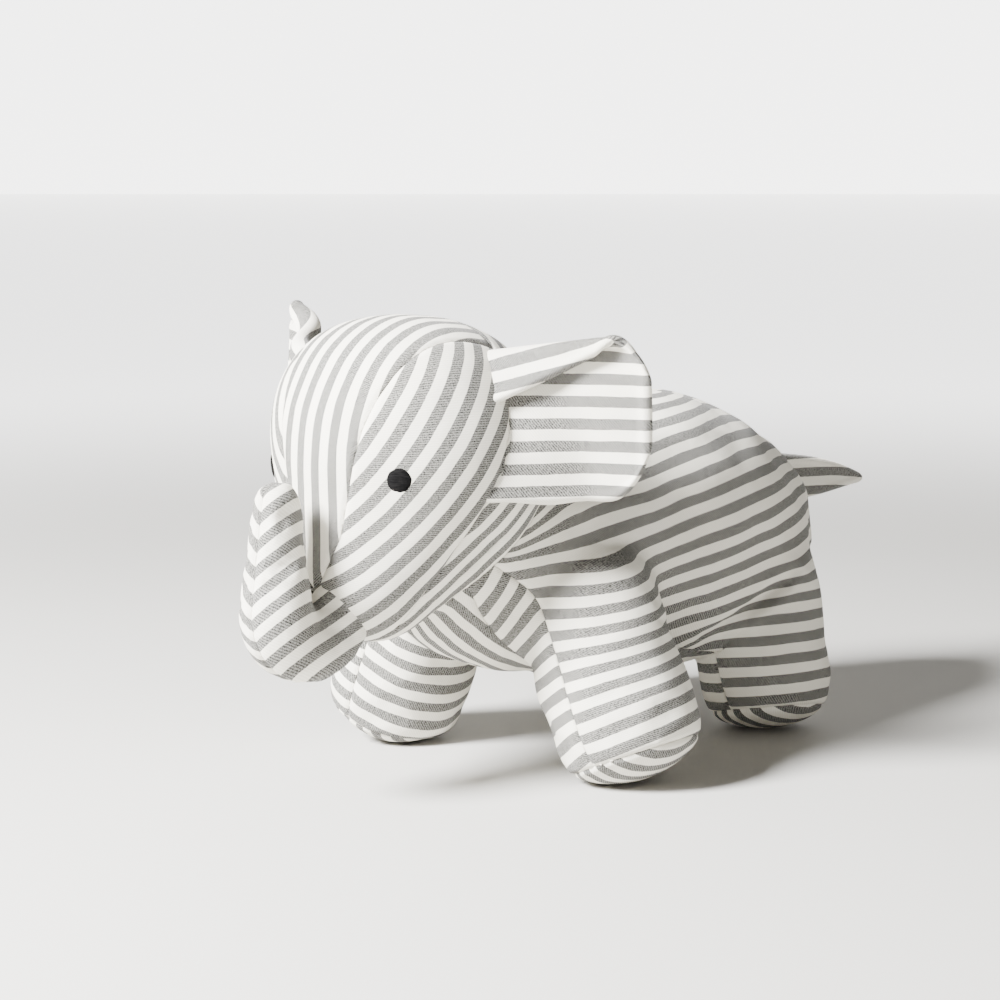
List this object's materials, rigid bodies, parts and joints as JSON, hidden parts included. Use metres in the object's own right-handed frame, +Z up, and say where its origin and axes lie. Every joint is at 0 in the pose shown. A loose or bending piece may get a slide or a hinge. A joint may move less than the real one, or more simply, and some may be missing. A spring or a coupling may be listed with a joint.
{
  "type": "stuffed toy elephant",
  "caption": "Standing stuffed elephant sewn from striped cotton panels, with a curled-up trunk, folded ears, round foot soles, embroidered eyes and a flat tail.",
  "frame": {"origin": "middle of the toy's bounding box at floor level, between the four foot soles", "axes": "+Z up, -Y the way the elephant looks, +X its own left side; +Y runs along its length to the tail"},
  "size_m": [0.1994, 0.4048, 0.194],
  "materials": {
    "striped_cotton": "matt woven cotton, grey and ivory stripes",
    "polyester_filling": "loose fibre",
    "black_thread": "satin-stitch embroidery"
  },
  "bodies": {
    "body": {"body_side_left": "striped_cotton", "body_side_right": "striped_cotton", "belly_panel": "striped_cotton", "inner_leg_front_left": "striped_cotton", "inner_leg_front_right": "striped_cotton", "inner_leg_rear_left": "striped_cotton", "inner_leg_rear_right": "striped_cotton", "foot_sole_front_left": "striped_cotton", "foot_sole_front_right": "striped_cotton", "foot_sole_rear_left": "striped_cotton", "foot_sole_rear_right": "striped_cotton", "body_stuffing": "polyester_filling", "leg_stuffing_front_left": "polyester_filling", "leg_stuffing_front_right": "polyester_filling", "leg_stuffing_rear_left": "polyester_filling", "leg_stuffing_rear_right": "polyester_filling", "neck_band": "striped_cotton", "neck_stuffing": "polyester_filling"},
    "head": {"head_back": "striped_cotton", "forehead_gusset": "striped_cotton", "head_side_left": "striped_cotton", "head_side_right": "striped_cotton", "head_stuffing": "polyester_filling", "eye_left": "black_thread", "eye_right": "black_thread"},
    "trunk": {"trunk_left": "striped_cotton", "trunk_right": "striped_cotton", "trunk_stuffing": "polyester_filling"},
    "ear_left": {"ear_left_front": "striped_cotton", "ear_left_back": "striped_cotton"},
    "ear_right": {"ear_right_front": "striped_cotton", "ear_right_back": "striped_cotton"},
    "tail": {"tail_left": "striped_cotton", "tail_right": "striped_cotton"}
  },
  "joints": [
    {"name": "neck_nod", "type": "hinge", "parent": "body", "child": "head", "pos_m": [0, -0.0904, 0.1182], "axis": [1, 0, 0], "range_deg": [-6, 6], "stiffness_Nm_per_rad": 3, "deforming": ["neck_band", "neck_stuffing"]},
    {"name": "trunk_flex", "type": "hinge", "parent": "head", "child": "trunk", "pos_m": [0, -0.159, 0.0776], "axis": [1, 0, 0], "range_deg": [-6, 6], "stiffness_Nm_per_rad": 0.4},
    {"name": "ear_left_flap", "type": "hinge", "parent": "head", "child": "ear_left", "pos_m": [0.0535, -0.1022, 0.15], "axis": [-0.243, 0, 0.97], "range_deg": [-18, 22], "stiffness_Nm_per_rad": 0.03},
    {"name": "ear_right_flap", "type": "hinge", "parent": "head", "child": "ear_right", "pos_m": [-0.0535, -0.1022, 0.15], "axis": [-0.243, 0, -0.97], "range_deg": [-18, 22], "stiffness_Nm_per_rad": 0.03},
    {"name": "tail_swing", "type": "hinge", "parent": "body", "child": "tail", "pos_m": [0, 0.1345, 0.104], "axis": [0, 0, 1], "range_deg": [-50, 50], "stiffness_Nm_per_rad": 0.02}
  ]
}
